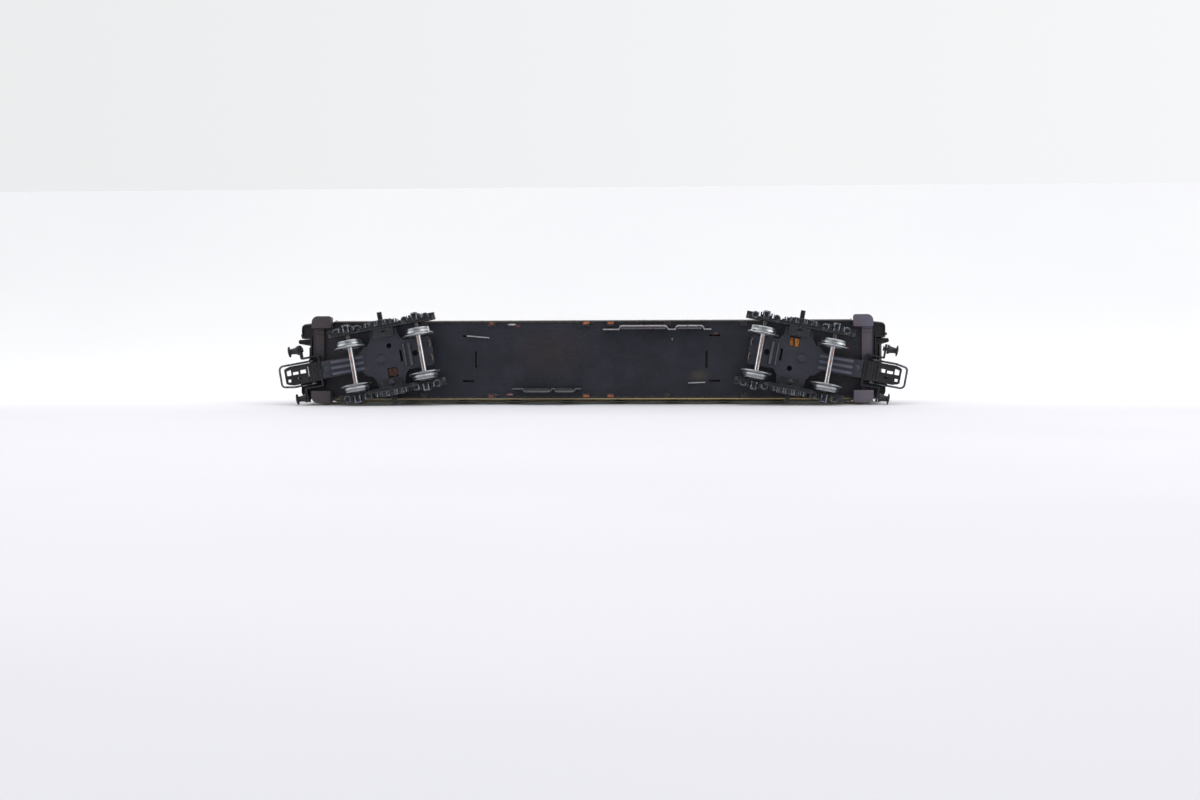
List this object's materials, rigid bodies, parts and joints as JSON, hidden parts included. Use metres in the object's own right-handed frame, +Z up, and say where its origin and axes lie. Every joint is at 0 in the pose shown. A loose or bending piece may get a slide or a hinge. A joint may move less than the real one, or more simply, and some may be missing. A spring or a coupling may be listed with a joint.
{
  "type": "model railway passenger coach",
  "caption": "Small-scale tin-plate bogie coach with swivelling bogies, free-turning wheelsets, buffers and hook-and-bow couplers.",
  "frame": {"origin": "bottom centre: on the plane that the wheel flanges stand on, midway between the coach's ends and sides", "axes": "+X along the coach, +Z up through the roof"},
  "size_m": [0.2471, 0.0367, 0.0484],
  "materials": {
    "tin_black": "semi-gloss black, dusty, rust specks",
    "bogie_black": "satin black, worn edges",
    "wheel_nickel": "turned, dull nickel",
    "axle_steel": "polished",
    "coach_green": "lithographed dark green with a gold line",
    "roof_grey": "matt dark grey",
    "step_brown": "matt brown-grey, rusty",
    "gangway_rubber": "matt black",
    "worn_tin": "black paint worn to bare tin",
    "glazing_clear": "clear sheet"
  },
  "bodies": {
    "coach_body": {"floor_plate": "tin_black", "body_shell": "coach_green", "roof": "roof_grey", "glazing_left": "glazing_clear", "glazing_right": "glazing_clear", "steps_a": "step_brown", "steps_b": "step_brown", "gangway_a": "gangway_rubber", "gangway_b": "gangway_rubber", "end_door_a": "coach_green", "end_door_b": "coach_green", "king_pin_a": "bogie_black", "king_pin_b": "bogie_black", "skirt_long": "worn_tin", "skirt_short": "worn_tin", "floor_tab_a": "worn_tin", "floor_tab_b": "worn_tin"},
    "bogie_a": {"bogie_a_plate": "bogie_black", "bogie_a_frame_left": "bogie_black", "bogie_a_frame_right": "bogie_black", "frame_rivet_a_left": "worn_tin", "frame_rivet_a_right": "worn_tin", "drawbar_rivet_a": "worn_tin", "buffer_beam_a": "bogie_black", "buffer_a_left": "bogie_black", "buffer_a_right": "bogie_black", "coupler_a_head": "bogie_black", "coupler_a_rivet": "worn_tin", "coupler_a_pin": "axle_steel"},
    "wheelset_a1": {"axle_a1": "axle_steel", "wheel_a1_left": "wheel_nickel", "wheel_a1_right": "wheel_nickel"},
    "wheelset_a2": {"axle_a2": "axle_steel", "wheel_a2_left": "wheel_nickel", "wheel_a2_right": "wheel_nickel"},
    "bow_a": {"coupler_a_bow": "axle_steel"},
    "bogie_b": {"bogie_b_plate": "bogie_black", "bogie_b_frame_left": "bogie_black", "bogie_b_frame_right": "bogie_black", "frame_rivet_b_left": "worn_tin", "frame_rivet_b_right": "worn_tin", "drawbar_rivet_b": "worn_tin", "buffer_beam_b": "bogie_black", "buffer_b_left": "bogie_black", "buffer_b_right": "bogie_black", "coupler_b_head": "bogie_black", "coupler_b_rivet": "worn_tin", "coupler_b_pin": "axle_steel"},
    "wheelset_b1": {"axle_b1": "axle_steel", "wheel_b1_left": "wheel_nickel", "wheel_b1_right": "wheel_nickel"},
    "wheelset_b2": {"axle_b2": "axle_steel", "wheel_b2_left": "wheel_nickel", "wheel_b2_right": "wheel_nickel"},
    "bow_b": {"coupler_b_bow": "axle_steel"}
  },
  "joints": [
    {"name": "bogie_a_swivel", "type": "hinge", "parent": "coach_body", "child": "bogie_a", "pos_m": [-0.0823, 0, 0.0085], "axis": [0, 0, 1], "range_deg": [-0.7, 21.1]},
    {"name": "wheelset_a1_spin", "type": "hinge", "parent": "bogie_a", "child": "wheelset_a1", "pos_m": [-0.09297, 0.00283, 0.0062], "axis": [-0.1771, -0.9842, 0], "continuous": true},
    {"name": "wheelset_a2_spin", "type": "hinge", "parent": "bogie_a", "child": "wheelset_a2", "pos_m": [-0.066, -0.00202, 0.0062], "axis": [-0.1771, -0.9842, 0], "continuous": true},
    {"name": "bow_a_lift", "type": "hinge", "parent": "bogie_a", "child": "bow_a", "pos_m": [-0.10986, 0.00496, 0.0108], "axis": [0.1771, 0.9842, 0], "range_deg": [0, 20]},
    {"name": "bogie_b_swivel", "type": "hinge", "parent": "coach_body", "child": "bogie_b", "pos_m": [0.0823, 0, 0.0085], "axis": [0, 0, 1], "range_deg": [-21.4, 0.4]},
    {"name": "wheelset_b1_spin", "type": "hinge", "parent": "bogie_b", "child": "wheelset_b1", "pos_m": [0.09295, 0.00289, 0.0062], "axis": [-0.1822, 0.9833, 0], "continuous": true},
    {"name": "wheelset_b2_spin", "type": "hinge", "parent": "bogie_b", "child": "wheelset_b2", "pos_m": [0.06601, -0.0021, 0.0062], "axis": [-0.1822, 0.9833, 0], "continuous": true},
    {"name": "bow_b_lift", "type": "hinge", "parent": "bogie_b", "child": "bow_b", "pos_m": [0.10983, 0.0051, 0.0108], "axis": [0.1822, -0.9833, 0], "range_deg": [0, 20]}
  ]
}
